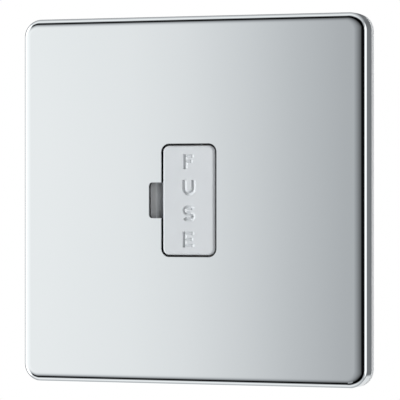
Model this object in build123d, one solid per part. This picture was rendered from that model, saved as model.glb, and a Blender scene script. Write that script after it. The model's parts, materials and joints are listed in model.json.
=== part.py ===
from build123d import *
import os

# Fused spur unit: a screwless polished cover over a pressed mounting frame, with a pull-out
# carrier for one cartridge fuse in the middle and screw terminals at the back.
# Millimetres. X is to the right seen from the front, Z is up and Y runs into the wall.
# The wall plane is y = 0, and the origin lies midway between the two fixing slots.

# Cover: polished tray and the moulded liner bonded inside it
COVER_SIZE = 92.0
TRAY_DEPTH = 5.95
TRAY_SHEET = 1.0
TRAY_CORNER_R = 4.5
TRAY_EDGE_R = 2.6
RIM_DEPTH = 2.25
RIM_INSET = 0.1
LINER_WALL = 2.3
LINER_WEB = 1.3
BOND_GAP = 0.1
OPENING_W = 14.8
OPENING_R = 2.1
OPENING_EDGE_R = 0.2
NOTCH_W = 3.3
NOTCH_H = 8.8
NOTCH_R = 0.8

# Mounting frame and the spring clips that grip the cover
FRAME_SHEET = 1.2
FRAME_FLANGE = 4.6
FRAME_CORNER_R = 3.0
FRAME_BEND_R = 1.5
FIXING_CENTRES = 60.3
FIXING_SLOT_R = 2.1
FIXING_SLOT_LENGTH = 7.0
CLIP_SPACE = 0.6
CLIP_SHEET = 0.35
CLIP_WIDTH = 10.0
CLIP_LEG = 3.2
CLIP_TOUCH = 0.05

# Cartridge fuse
FUSE_LENGTH = 25.4
FUSE_CAP_R = 3.175
FUSE_CAP_LENGTH = 6.2
FUSE_CAP_SHEET = 0.4
FUSE_CAP_FIT = 0.02

# Fuse carrier
CARRIER_GAP = 0.45
CARRIER_PROUD = 0.2
CARRIER_FACE = 2.2
CARRIER_EDGE_R = 0.6
CARRIER_TRAVEL = 12.0
CRADLE_FIT = 0.1
CRADLE_WALL = 1.15
CRADLE_HALF = 5.4
CRADLE_LIP = 1.2
FUSE_SEAT_GAP = 0.5
FUSE_END_GAP = 1.15
LEG_SHEET = 1.4
LEG_INSET = 0.4
LEG_HALF = 4.0
LUG_REACH = 0.9
LUG_DEPTH = 1.95
LUG_HALF = 2.5
STOP_COVER = 4.5
STOP_GAP = 0.05
RUNNING_GAP = 0.2

# Fuse contacts
CONTACT_SHEET = 0.6
CONTACT_GAP = 0.05
CONTACT_BASE_GAP = 0.3
CONTACT_LENGTH = 4.8
CONTACT_FLARE = 1.1
CONTACT_TAIL_W = 5.0

# Terminals and their screws
TERMINAL_W = 8.0
TERMINAL_L = 9.0
TERMINAL_D = 10.0
TERMINAL_BEVEL = 0.5
WIRE_R = 2.2
WIRE_FRONT_WALL = 1.5
LINK_W = 4.0
LINK_SHEET = 1.5
TERMINAL_SCREW_R = 1.9
TERMINAL_HEAD_R = 2.8
TERMINAL_HEAD_H = 2.5
TERMINAL_LIFT = 3.3
SCREW_FIT = 0.05
SLOT_W = 0.8
SLOT_DEPTH = 1.0

# Housing, moulded in two halves
TERMINAL_WELL_GAP = 3.15
POCKET_FIT = 0.15
TOWER_WALL = 1.4
TOWER_GAP = 3.4
SIDE_GAP = 1.15
HOUSING_WALL = 1.8
HOUSING_CORNER_R = 3.0
ENTRY_WALL = 2.85
ENTRY_R = 2.7
REAR_WALL = 2.0
HEAD_RECESS = 0.4
ACCESS_R = 3.3
ISLAND_GAP = 0.1
ISLAND_SIDE = 1.65
ISLAND_END = 3.15
ISLAND_CORNER_R = 3.0
LEAD_IN = 0.2
LEAD_IN_DEPTH = 2.4
RAMP_SHELF = 1.4
RAMP_FALL = 1.2
RAMP_START = 0.5
RAMP_END = 3.4
RAMP_MARGIN = 0.2
WINDOW_GAP = 0.5
FLANGE_LAP = 1.3
FLANGE_SHEET = 2.0
FLANGE_EDGE_GAP = 2.8
FLANGE_CORNER_R = 4.0
SHELF = 3.0
SHELF_INSET = 1.2
LEG_END_GAP = 2.0

# Fasteners
JOIN_SCREW_R = 1.45
JOIN_HEAD_R = 2.4
JOIN_HEAD_H = 1.8
JOIN_BOSS_R = 2.6
JOIN_BITE = 4.2
FRAME_SCREW_R = 1.4
FRAME_SCREW_SPACING = 26.0
FRAME_HEAD_R = 2.7
FRAME_HEAD_H = 1.8
COLLAR_R = 2.4
COLLAR_H = 1.0
CLEARANCE_HOLE = 0.3
RIVET_R = 1.2
RIVET_HEAD_R = 2.0
RIVET_HEAD_H = 0.6
RIVET_BITE = 1.2

# Earthing
STRAP_SHEET = 0.8
STRAP_W = 5.0
STRAP_Z = 9.0
STRAP_LAND = 6.5
SPRING_SHEET = 0.4
SPRING_W = 4.0
SPRING_SIDE = 0.7
SPRING_FOOT = 5.0
SPRING_START = 12.0
SPRING_RUN = 10.0
SPRING_TIP = 2.0
LINER_CLEARANCE = 1.5

# Depths, from the wall plane towards the front
Y_TRAY_BACK = -RIM_DEPTH
Y_FRONT = Y_TRAY_BACK - TRAY_DEPTH
Y_SHEET_BACK = Y_FRONT + TRAY_SHEET
Y_FRAME_FRONT = -FRAME_SHEET
Y_FLANGE = Y_FRAME_FRONT - FLANGE_SHEET
Y_ISLAND = Y_SHEET_BACK + ISLAND_GAP
Y_STOP = Y_ISLAND + STOP_COVER
Y_CARRIER = Y_FRONT - CARRIER_PROUD
Y_CARRIER_BACK = Y_CARRIER + CARRIER_FACE
Y_FUSE = Y_CARRIER_BACK + FUSE_SEAT_GAP + FUSE_CAP_R

# Depths behind the fuse
Y_CONTACT = Y_FUSE + FUSE_CAP_R + CONTACT_BASE_GAP
Y_SPLIT = Y_CONTACT + CONTACT_SHEET
Y_WIRE = Y_SPLIT + WIRE_FRONT_WALL + WIRE_R
Y_TERMINAL_BACK = Y_SPLIT + TERMINAL_D
Y_TERMINAL_HEAD = Y_TERMINAL_BACK + TERMINAL_LIFT
Y_LUG = Y_STOP + CARRIER_TRAVEL + STOP_GAP
Y_LEG_END = Y_LUG + LUG_DEPTH
Y_REAR = max(Y_TERMINAL_HEAD + TERMINAL_HEAD_H + HEAD_RECESS, Y_LEG_END + LEG_END_GAP + REAR_WALL)
Y_FLOOR = Y_REAR - REAR_WALL

# Half sizes across the front
BARREL_R = FUSE_CAP_R - FUSE_CAP_SHEET - FUSE_CAP_FIT
CARRIER_W = OPENING_W - 2 * CARRIER_GAP
WELL_Z = FUSE_LENGTH / 2 + FUSE_END_GAP
CARRIER_H = 2 * (WELL_Z - RUNNING_GAP)
OPENING_H = CARRIER_H + 2 * CARRIER_GAP
CARRIER_R = OPENING_R - CARRIER_GAP
WELL_X = CARRIER_W / 2 + RUNNING_GAP
MOUTH_X = OPENING_W / 2 + LEAD_IN
MOUTH_Z = OPENING_H / 2 + LEAD_IN
LEG_X = WELL_X - LEG_INSET
LUG_X = WELL_X + LUG_REACH
ISLAND_X = OPENING_W / 2 + NOTCH_W + ISLAND_SIDE
ISLAND_Z = WELL_Z + ISLAND_END
TOWER_X = TERMINAL_W / 2 + POCKET_FIT + TOWER_WALL
TERMINAL_PITCH = 2 * TOWER_X + TOWER_GAP
TERMINAL_Z = WELL_Z + TERMINAL_WELL_GAP + TERMINAL_L / 2
HOUSING_X = TERMINAL_PITCH + TOWER_X + SIDE_GAP + HOUSING_WALL
HOUSING_Z = TERMINAL_Z + TERMINAL_L / 2 + POCKET_FIT + ENTRY_WALL
WINDOW_X = HOUSING_X + WINDOW_GAP
WINDOW_Z = HOUSING_Z + WINDOW_GAP
LINER_OUT = COVER_SIZE / 2 - TRAY_SHEET - BOND_GAP
LINER_IN = LINER_OUT - LINER_WALL
FRAME_OUT = LINER_IN - CLIP_SPACE
FRAME_IN = FRAME_OUT - FRAME_SHEET
FLANGE_X = WINDOW_X + FLANGE_LAP
FLANGE_Z = FRAME_IN - FLANGE_EDGE_GAP
FRAME_SCREW_Z = (WINDOW_Z + FLANGE_Z) / 2
SPRING_X = FLANGE_X + SPRING_SIDE
LINER_WINDOW = SPRING_X + SPRING_W + LINER_CLEARANCE
STRAP_END = WINDOW_X + STRAP_LAND
STRAP_RIVET_X = WINDOW_X + STRAP_LAND / 2 + STRAP_SHEET
SPRING_RIVET_Z = SPRING_START + SPRING_FOOT / 2
CONTACT_START = FUSE_LENGTH / 2 - CONTACT_LENGTH - CONTACT_GAP
CONTACT_END = CONTACT_START + CONTACT_LENGTH

POLES = {"live": 0.0, "neutral": -TERMINAL_PITCH, "earth": TERMINAL_PITCH}
ENDS = {"supply": 1, "load": -1}


def block(x0, x1, y0, y1, z0, z1):
    """A box between two corners."""
    corner = (Align.MIN, Align.MIN, Align.MIN)
    low = (min(x0, x1), min(y0, y1), min(z0, z1))
    return Pos(*low) * Box(abs(x1 - x0), abs(y1 - y0), abs(z1 - z0), align=corner)


def prism(outline, y0, y1):
    """A flat outline in X and Z, made solid from depth y0 to depth y1."""
    return extrude(Plane.XZ.offset(-y1) * outline, y1 - y0)


def panel(half_x, half_z, radius, y0, y1):
    """A rectangular slab with rounded corners, centred on the origin."""
    return prism(RectangleRounded(2 * half_x, 2 * half_z, radius), y0, y1)


def rod_y(x, z, radius, y0, y1):
    """A round bar along Y."""
    return prism(Pos(x, z) * Circle(radius), y0, y1)


def rod_z(x, y, radius, z0, z1):
    """A round bar along Z."""
    return extrude(Plane.XY.offset(z0) * Pos(x, y) * Circle(radius), z1 - z0)


def strip_along_z(points, z0, z1):
    """A section drawn in X and Y, made solid from z0 to z1."""
    return extrude(Plane.XY.offset(z0) * make_face(Polyline(*points, close=True)), z1 - z0)


def strip_along_x(points, x0, x1):
    """A section drawn in Y and Z, made solid from x0 to x1."""
    return extrude(Plane.YZ.offset(x0) * make_face(Polyline(*points, close=True)), x1 - x0)


def front_edges(solid):
    """The edges on the side that faces the room."""
    return solid.edges().group_by(Axis.Y)[0]


def back_edges(solid):
    """The edges on the side that faces the wall."""
    return solid.edges().group_by(Axis.Y)[-1]


def slotted_screw(x, z, shank_r, head_r, head_h, y_tip, y_head):
    """A cheese-head screw that is driven from the back, with a straight slot."""
    head = rod_y(x, z, head_r, y_head, y_head + head_h)
    head = fillet(back_edges(head), head_h / 6)
    slot = block(x - head_r, x + head_r, y_head + head_h - SLOT_DEPTH, y_head + head_h,
                 z - SLOT_W / 2, z + SLOT_W / 2)
    return head + rod_y(x, z, shank_r, y_tip, y_head) - slot


def rivet(x, z, y_head, y_back, back_head):
    """A rivet with its round head towards the front, and a second head where it is set."""
    head = rod_y(x, z, RIVET_HEAD_R, y_head - RIVET_HEAD_H, y_head)
    head = fillet(front_edges(head), RIVET_HEAD_H / 2)
    body = head + rod_y(x, z, RIVET_R, y_head, y_back)
    if back_head:
        body = body + rod_y(x, z, RIVET_HEAD_R, y_back, y_back + RIVET_HEAD_H)
    return body


# Cover

def cover_opening():
    """Opening for the carrier with the prising notch at its left side."""
    notch_right = -OPENING_W / 2 + NOTCH_R + OPENING_R
    notch_w = NOTCH_W + NOTCH_R + OPENING_R
    notch = Pos(notch_right - notch_w / 2, 0) * RectangleRounded(notch_w, NOTCH_H, NOTCH_R)
    return RectangleRounded(OPENING_W, OPENING_H, OPENING_R) + notch


def front_plate():
    half = COVER_SIZE / 2
    outer = panel(half, half, TRAY_CORNER_R, Y_FRONT, Y_TRAY_BACK)
    outer = fillet(front_edges(outer), TRAY_EDGE_R)
    inner_half = half - TRAY_SHEET
    inner = panel(inner_half, inner_half, TRAY_CORNER_R - TRAY_SHEET, Y_SHEET_BACK, Y_TRAY_BACK)
    inner = fillet(front_edges(inner), TRAY_EDGE_R - TRAY_SHEET)
    tray = outer - inner - prism(cover_opening(), Y_FRONT, Y_SHEET_BACK)
    reach = max(OPENING_W / 2 + NOTCH_W, OPENING_H / 2) + TRAY_SHEET
    rim = [e for e in front_edges(tray) if abs(e.center().X) < reach and abs(e.center().Z) < reach]
    return fillet(rim, OPENING_EDGE_R)


def plate_liner():
    corner = TRAY_CORNER_R - TRAY_SHEET - BOND_GAP
    ring = panel(LINER_OUT, LINER_OUT, corner, Y_SHEET_BACK, 0)
    ring = fillet(front_edges(ring), TRAY_EDGE_R - TRAY_SHEET + BOND_GAP)
    rim_half = COVER_SIZE / 2 - RIM_INSET
    ring = ring + panel(rim_half, rim_half, TRAY_CORNER_R - RIM_INSET, Y_TRAY_BACK, 0)
    inner_corner = FRAME_CORNER_R - CLIP_SPACE
    ring = ring - panel(LINER_IN, LINER_IN, inner_corner, Y_SHEET_BACK + LINER_WEB, 0)
    return ring - panel(LINER_WINDOW, LINER_WINDOW, FLANGE_CORNER_R, Y_SHEET_BACK,
                        Y_SHEET_BACK + LINER_WEB)


# Mounting frame

def fixing_slots():
    slot = SlotOverall(FIXING_SLOT_LENGTH, 2 * FIXING_SLOT_R)
    return [Pos(side * FIXING_CENTRES / 2, 0) * slot for side in (-1, 1)]


def frame_screw_places():
    return [(sx * FRAME_SCREW_SPACING / 2, sz * FRAME_SCREW_Z) for sx in (-1, 1) for sz in (-1, 1)]


def mounting_frame():
    outer = panel(FRAME_OUT, FRAME_OUT, FRAME_CORNER_R, -FRAME_FLANGE, 0)
    outer = fillet(back_edges(outer), FRAME_BEND_R)
    frame = outer - panel(FRAME_IN, FRAME_IN, FRAME_CORNER_R - FRAME_SHEET, -FRAME_FLANGE, Y_FRAME_FRONT)
    frame = frame - panel(WINDOW_X, WINDOW_Z, HOUSING_CORNER_R + WINDOW_GAP, Y_FRAME_FRONT, 0)
    for x, z in frame_screw_places():
        frame = frame + rod_y(x, z, COLLAR_R, Y_FRAME_FRONT, COLLAR_H)
        frame = frame - rod_y(x, z, FRAME_SCREW_R + SCREW_FIT, Y_FRAME_FRONT, COLLAR_H)
    for slot in fixing_slots():
        frame = frame - prism(slot, Y_FRAME_FRONT, 0)
    for x, z in ((STRAP_RIVET_X, STRAP_Z), (SPRING_X + SPRING_W / 2, SPRING_RIVET_Z)):
        frame = frame - rod_y(x, z, RIVET_R + SCREW_FIT, Y_FRAME_FRONT, 0)
    return frame


def cover_clip():
    """One leaf clip that straddles the right-hand flange, bowed towards the liner's wall."""
    top = -FRAME_FLANGE - CLIP_SHEET
    foot = top + CLIP_LEG
    out = FRAME_OUT + CLIP_SHEET
    bow = LINER_IN - CLIP_TOUCH
    section = [
        (FRAME_IN - CLIP_SHEET, top), (out, top),
        (out, top + 0.3 * CLIP_LEG), (bow, top + 0.5 * CLIP_LEG),
        (bow, top + 0.7 * CLIP_LEG), (out, foot),
        (FRAME_OUT, foot), (FRAME_OUT, -FRAME_FLANGE),
        (FRAME_IN, -FRAME_FLANGE), (FRAME_IN, foot), (FRAME_IN - CLIP_SHEET, foot),
    ]
    return strip_along_z(section, -CLIP_WIDTH / 2, CLIP_WIDTH / 2)


def cover_clips():
    clip = cover_clip()
    return [Rot(0, turn, 0) * clip for turn in (0, 90, 180, 270)]


# Housing

def join_screw_places():
    return [(sx * TERMINAL_PITCH / 2, sz * TERMINAL_Z) for sx in (-1, 1) for sz in (-1, 1)]


def prising_ramp():
    """Recess behind the notch: a shelf, then a fall to where a screwdriver's tip gets under the carrier."""
    left = -OPENING_W / 2 - NOTCH_W - RAMP_MARGIN
    right = -WELL_X + RAMP_MARGIN
    half = NOTCH_H / 2 + RAMP_MARGIN
    shelf = left + RAMP_SHELF
    section = [(left, Y_ISLAND), (right, Y_ISLAND), (right, Y_ISLAND + RAMP_END),
               (shelf + RAMP_FALL, Y_ISLAND + RAMP_END), (shelf, Y_ISLAND + RAMP_START),
               (left, Y_ISLAND + RAMP_START)]
    return strip_along_z(section, -half, half)


def front_housing():
    body = panel(HOUSING_X, HOUSING_Z, HOUSING_CORNER_R, Y_FRAME_FRONT, Y_SPLIT)
    body = body + panel(FLANGE_X, FLANGE_Z, FLANGE_CORNER_R, Y_FLANGE, Y_FRAME_FRONT)
    island = panel(ISLAND_X, ISLAND_Z, ISLAND_CORNER_R, Y_ISLAND, Y_FLANGE)
    mouth = panel(MOUTH_X, MOUTH_Z, OPENING_R + LEAD_IN, Y_ISLAND, Y_ISLAND + LEAD_IN_DEPTH)
    well = panel(WELL_X, WELL_Z, CARRIER_R, Y_ISLAND, Y_SPLIT)
    body = body + island - mouth - well - prising_ramp()
    groove_x = LUG_X + RUNNING_GAP
    groove_z = LUG_HALF + RUNNING_GAP
    body = body - block(-groove_x, groove_x, Y_STOP, Y_SPLIT, -groove_z, groove_z)
    for x, z in frame_screw_places():
        body = body - rod_y(x, z, FRAME_SCREW_R + CLEARANCE_HOLE, Y_FLANGE, Y_FRAME_FRONT)
    for x, z in join_screw_places():
        body = body - rod_y(x, z, JOIN_SCREW_R + SCREW_FIT, Y_SPLIT - JOIN_BITE, Y_SPLIT)
    tail_x = CONTACT_TAIL_W / 2 + RUNNING_GAP
    tail_z = TERMINAL_Z + RIVET_HEAD_R + RUNNING_GAP
    head_y = Y_CONTACT - RIVET_HEAD_H - RUNNING_GAP
    for side in ENDS.values():
        body = body - block(-tail_x, tail_x, Y_CONTACT - RUNNING_GAP, Y_SPLIT, side * CONTACT_END, side * tail_z)
        body = body - rod_y(0, side * TERMINAL_Z, RIVET_HEAD_R + RUNNING_GAP, head_y, Y_SPLIT)
    strap_y = Y_SPLIT - STRAP_SHEET
    strap_half = STRAP_W / 2 + RUNNING_GAP
    strap_left = POLES["earth"] - RIVET_HEAD_R - RUNNING_GAP
    body = body - block(strap_left, HOUSING_X, strap_y, Y_SPLIT, STRAP_Z - strap_half, STRAP_Z + strap_half)
    return body - rod_y(POLES["earth"], STRAP_Z, RIVET_HEAD_R + RUNNING_GAP,
                        strap_y - RIVET_HEAD_H - RUNNING_GAP, Y_SPLIT)


def tower(x, side):
    """Solid block around one terminal, before its pocket is cut."""
    inner = TERMINAL_Z - TERMINAL_L / 2 - POCKET_FIT - TOWER_WALL
    return block(x - TOWER_X, x + TOWER_X, Y_SPLIT, Y_FLOOR, side * inner, side * (HOUSING_Z - HOUSING_WALL))


def pocket(x, side):
    """Room for one terminal, its screw and the wire that enters from the end of the housing."""
    half = TERMINAL_W / 2 + POCKET_FIT
    near = TERMINAL_Z - TERMINAL_L / 2 - POCKET_FIT
    far = TERMINAL_Z + TERMINAL_L / 2 + POCKET_FIT
    room = block(x - half, x + half, Y_SPLIT, Y_TERMINAL_BACK, side * near, side * far)
    room = room + rod_y(x, side * TERMINAL_Z, ACCESS_R, Y_TERMINAL_BACK, Y_REAR)
    entry = rod_z(x, Y_WIRE, ENTRY_R, min(side * far, side * HOUSING_Z), max(side * far, side * HOUSING_Z))
    entry = entry + block(x - ENTRY_R, x + ENTRY_R, Y_SPLIT, Y_WIRE, side * far, side * HOUSING_Z)
    return room + entry


def contact_shelf(side):
    """Ledge behind one fuse contact."""
    inner = CONTACT_START - SHELF_INSET
    outer = TERMINAL_Z - TERMINAL_L / 2 - POCKET_FIT
    return block(-TOWER_X, TOWER_X, Y_SPLIT, Y_SPLIT + SHELF, side * inner, side * outer)


def rear_housing():
    shell = panel(HOUSING_X, HOUSING_Z, HOUSING_CORNER_R, Y_SPLIT, Y_REAR)
    shell = chamfer(back_edges(shell), HOUSING_WALL / 2)
    inner_r = HOUSING_CORNER_R - HOUSING_WALL
    shell = shell - panel(HOUSING_X - HOUSING_WALL, HOUSING_Z - HOUSING_WALL, inner_r, Y_SPLIT, Y_FLOOR)
    for side in ENDS.values():
        shell = shell + contact_shelf(side)
        for x in POLES.values():
            shell = shell + tower(x, side)
    for x, z in join_screw_places():
        shell = shell + rod_y(x, z, JOIN_BOSS_R, Y_SPLIT, Y_FLOOR)
    for side in ENDS.values():
        for x in POLES.values():
            shell = shell - pocket(x, side)
    for x, z in join_screw_places():
        shell = shell - rod_y(x, z, JOIN_SCREW_R + CLEARANCE_HOLE, Y_SPLIT, Y_REAR)
        shell = shell - rod_y(x, z, JOIN_HEAD_R + CLEARANCE_HOLE, Y_REAR - JOIN_HEAD_H, Y_REAR)
    link_x = LINK_W / 2 + POCKET_FIT
    for x in (POLES["neutral"], POLES["earth"]):
        shell = shell - block(x - link_x, x + link_x, Y_SPLIT, Y_SPLIT + LINK_SHEET + POCKET_FIT,
                              -TERMINAL_Z, TERMINAL_Z)
    strap_half = STRAP_W / 2 + RUNNING_GAP
    strap_bend = Y_SPLIT + STRAP_SHEET
    return shell - block(HOUSING_X - HOUSING_WALL, HOUSING_X, Y_SPLIT, strap_bend,
                         STRAP_Z - strap_half, STRAP_Z + strap_half)


# Carrier and fuse

def fuse_carrier():
    face = panel(CARRIER_W / 2, CARRIER_H / 2, CARRIER_R, Y_CARRIER, Y_CARRIER_BACK)
    face = fillet(front_edges(face), CARRIER_EDGE_R)
    inner_r = BARREL_R + CRADLE_FIT
    outer_r = inner_r + CRADLE_WALL
    cradle = rod_z(0, Y_FUSE, outer_r, -CRADLE_HALF, CRADLE_HALF)
    cradle = cradle + block(-outer_r, outer_r, Y_CARRIER_BACK, Y_FUSE, -CRADLE_HALF, CRADLE_HALF)
    cradle = cradle - rod_z(0, Y_FUSE, inner_r, -CRADLE_HALF, CRADLE_HALF)
    cradle = cradle - block(-outer_r, outer_r, Y_FUSE + CRADLE_LIP, Y_FUSE + outer_r, -CRADLE_HALF, CRADLE_HALF)
    carrier = face + cradle
    for side in (-1, 1):
        inner = side * (LEG_X - LEG_SHEET)
        carrier = carrier + block(inner, side * LEG_X, Y_CARRIER_BACK, Y_LEG_END, -LEG_HALF, LEG_HALF)
        lug = [(inner, Y_LUG), (side * LUG_X, Y_LUG), (side * LUG_X, Y_LUG + LUG_DEPTH / 2),
               (side * LEG_X, Y_LEG_END), (inner, Y_LEG_END)]
        carrier = carrier + strip_along_z(lug, -LUG_HALF, LUG_HALF)
    return carrier


def fuse_barrel():
    half = FUSE_LENGTH / 2 - FUSE_CAP_SHEET - FUSE_CAP_FIT
    return rod_z(0, Y_FUSE, BARREL_R, -half, half)


def fuse_end_caps():
    caps = []
    for side in ENDS.values():
        near = FUSE_LENGTH / 2 - FUSE_CAP_LENGTH
        far = FUSE_LENGTH / 2
        floor = far - FUSE_CAP_SHEET
        cap = rod_z(0, Y_FUSE, FUSE_CAP_R, near, far)
        cap = fillet(cap.edges().group_by(Axis.Z)[-1], FUSE_CAP_SHEET)
        cap = cap - rod_z(0, Y_FUSE, BARREL_R + FUSE_CAP_FIT, near, floor)
        caps.append(cap if side > 0 else mirror(cap, about=Plane.XY))
    return caps


# Live path

def fuse_contact(side):
    """Two sprung jaws around a fuse cap, with a tail that reaches the live terminal."""
    inside = FUSE_CAP_R + CONTACT_GAP
    outside = inside + CONTACT_SHEET
    y_jaw = Y_FUSE - FUSE_CAP_R / 2
    y_tip = y_jaw - CONTACT_FLARE
    z0 = min(side * CONTACT_START, side * CONTACT_END)
    z1 = max(side * CONTACT_START, side * CONTACT_END)
    contact = block(-outside, outside, Y_CONTACT, Y_SPLIT, z0, z1)
    for hand in (-1, 1):
        jaw = [(hand * inside, Y_SPLIT), (hand * inside, y_jaw), (hand * (inside + CONTACT_FLARE), y_tip),
               (hand * (outside + CONTACT_FLARE), y_tip), (hand * outside, y_jaw), (hand * outside, Y_SPLIT)]
        contact = contact + strip_along_z(jaw, z0, z1)
    half = CONTACT_TAIL_W / 2
    tail_end = TERMINAL_Z + RIVET_HEAD_R
    contact = contact + block(-half, half, Y_CONTACT, Y_SPLIT, side * CONTACT_END, side * tail_end)
    return contact - rod_y(0, side * TERMINAL_Z, RIVET_R + SCREW_FIT, Y_CONTACT, Y_SPLIT)


def terminal(x, side):
    """Brass block with a wire bore along Z and a screw hole from the back."""
    half = TERMINAL_W / 2
    z0 = min(side * (TERMINAL_Z - TERMINAL_L / 2), side * (TERMINAL_Z + TERMINAL_L / 2))
    body = block(x - half, x + half, Y_SPLIT, Y_TERMINAL_BACK, z0, z0 + TERMINAL_L)
    body = chamfer(body.edges().filter_by(Axis.Z), TERMINAL_BEVEL)
    body = body - rod_z(x, Y_WIRE, WIRE_R, z0, z0 + TERMINAL_L)
    return body - rod_y(x, side * TERMINAL_Z, TERMINAL_SCREW_R + SCREW_FIT, Y_WIRE, Y_TERMINAL_BACK)


def live_terminal(side):
    hole = rod_y(0, side * TERMINAL_Z, RIVET_R + SCREW_FIT, Y_SPLIT, Y_SPLIT + RIVET_BITE)
    return terminal(0, side) - hole


def pole_link(x):
    """Two terminal blocks joined by one strip, so that the pole runs straight through."""
    half = LINK_W / 2
    near = TERMINAL_Z - TERMINAL_L / 2
    strip = block(x - half, x + half, Y_SPLIT, Y_SPLIT + LINK_SHEET, -near, near)
    return terminal(x, 1) + strip + terminal(x, -1)


def earth_link():
    x = POLES["earth"]
    return pole_link(x) - rod_y(x, STRAP_Z, RIVET_R + SCREW_FIT, Y_SPLIT, Y_SPLIT + LINK_SHEET)


def terminal_screws(pole):
    tip = Y_WIRE + WIRE_R + SCREW_FIT
    return [slotted_screw(POLES[pole], side * TERMINAL_Z, TERMINAL_SCREW_R, TERMINAL_HEAD_R, TERMINAL_HEAD_H,
                          tip, Y_TERMINAL_HEAD) for side in ENDS.values()]


def contact_rivets():
    return [rivet(0, side * TERMINAL_Z, Y_CONTACT, Y_SPLIT + RIVET_BITE, False) for side in ENDS.values()]


# Earth path

def earth_strap():
    """Flat strap from the earth link to the back of the mounting frame, with a joggle between."""
    left = POLES["earth"] - RIVET_HEAD_R
    bend = HOUSING_X + RUNNING_GAP
    top = Y_SPLIT - STRAP_SHEET
    slope = Y_SPLIT + RUNNING_GAP
    section = [(left, top), (bend, top), (bend + slope, 0), (STRAP_END, 0), (STRAP_END, STRAP_SHEET),
               (bend + slope + RUNNING_GAP, STRAP_SHEET), (bend + RUNNING_GAP, Y_SPLIT), (left, Y_SPLIT)]
    strap = strip_along_z(section, STRAP_Z - STRAP_W / 2, STRAP_Z + STRAP_W / 2)
    for x in (POLES["earth"], STRAP_RIVET_X):
        strap = strap - rod_y(x, STRAP_Z, RIVET_R + SCREW_FIT, 0, Y_SPLIT)
    return strap


def cover_earth_spring():
    """Leaf spring on the frame that presses on the back of the metal cover."""
    y_foot = Y_FRAME_FRONT - SPRING_SHEET
    y_tip = Y_SHEET_BACK + CLIP_TOUCH
    z_bend = SPRING_START + SPRING_FOOT
    z_tip = z_bend + SPRING_RUN
    section = [(Y_FRAME_FRONT, SPRING_START), (Y_FRAME_FRONT, z_bend), (y_tip + SPRING_SHEET, z_tip),
               (y_tip + SPRING_SHEET, z_tip + SPRING_TIP), (y_tip, z_tip + SPRING_TIP), (y_tip, z_tip),
               (y_foot, z_bend), (y_foot, SPRING_START)]
    spring = strip_along_x(section, SPRING_X, SPRING_X + SPRING_W)
    return spring - rod_y(SPRING_X + SPRING_W / 2, SPRING_RIVET_Z, RIVET_R + SCREW_FIT, y_foot, Y_FRAME_FRONT)


def earth_rivets():
    return [
        rivet(POLES["earth"], STRAP_Z, Y_SPLIT - STRAP_SHEET, Y_SPLIT + LINK_SHEET, True),
        rivet(STRAP_RIVET_X, STRAP_Z, Y_FRAME_FRONT, STRAP_SHEET, True),
        rivet(SPRING_X + SPRING_W / 2, SPRING_RIVET_Z, Y_FRAME_FRONT - SPRING_SHEET, 0, True),
    ]


# Fasteners

def housing_screws():
    """Long screws from the back that hold the two halves of the housing together."""
    tip = Y_SPLIT - JOIN_BITE + SCREW_FIT
    return [slotted_screw(x, z, JOIN_SCREW_R, JOIN_HEAD_R, JOIN_HEAD_H, tip, Y_REAR - JOIN_HEAD_H)
            for x, z in join_screw_places()]


def frame_screws():
    """Short screws from the front that hold the housing to the mounting frame."""
    screws = []
    for x, z in frame_screw_places():
        head = rod_y(x, z, FRAME_HEAD_R, Y_FLANGE - FRAME_HEAD_H, Y_FLANGE)
        head = fillet(front_edges(head), FRAME_HEAD_H / 3)
        slot = block(x - FRAME_HEAD_R, x + FRAME_HEAD_R, Y_FLANGE - FRAME_HEAD_H,
                     Y_FLANGE - FRAME_HEAD_H + SLOT_DEPTH, z - SLOT_W / 2, z + SLOT_W / 2)
        screws.append(head + rod_y(x, z, FRAME_SCREW_R, Y_FLANGE, COLLAR_H) - slot)
    return screws


NODES = {
    "front_plate": front_plate(),
    "plate_liner": plate_liner(),
    "mounting_frame": mounting_frame(),
    "cover_clips": cover_clips(),
    "front_housing": front_housing(),
    "rear_housing": rear_housing(),
    "fuse_carrier": fuse_carrier(),
    "fuse_barrel": fuse_barrel(),
    "fuse_end_caps": fuse_end_caps(),
    "supply_fuse_contact": fuse_contact(ENDS["supply"]),
    "load_fuse_contact": fuse_contact(ENDS["load"]),
    "supply_live_terminal": live_terminal(ENDS["supply"]),
    "load_live_terminal": live_terminal(ENDS["load"]),
    "neutral_link": pole_link(POLES["neutral"]),
    "earth_link": earth_link(),
    "earth_strap": earth_strap(),
    "cover_earth_spring": cover_earth_spring(),
    "live_terminal_screws": terminal_screws("live"),
    "neutral_terminal_screws": terminal_screws("neutral"),
    "earth_terminal_screws": terminal_screws("earth"),
    "contact_rivets": contact_rivets(),
    "earth_rivets": earth_rivets(),
    "housing_screws": housing_screws(),
    "frame_screws": frame_screws(),
}

os.makedirs("parts", exist_ok=True)
for name, shape in NODES.items():
    node = Compound(shape) if isinstance(shape, list) else shape
    export_step(node, f"parts/{name}.step")
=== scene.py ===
# %% [markdown]
# # A fused spur unit
# The unit is a square, polished cover on the wall with a light grey fuse carrier in its middle.
# Its solids come from the frame at their real size, in metres, so nothing is placed by eye here:
# each new piece takes its size from the solid that it stands for.
# X is to the right seen from the front, Z is up, and the cover faces -Y.

# %% Load the frame
import json
import math

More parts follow.
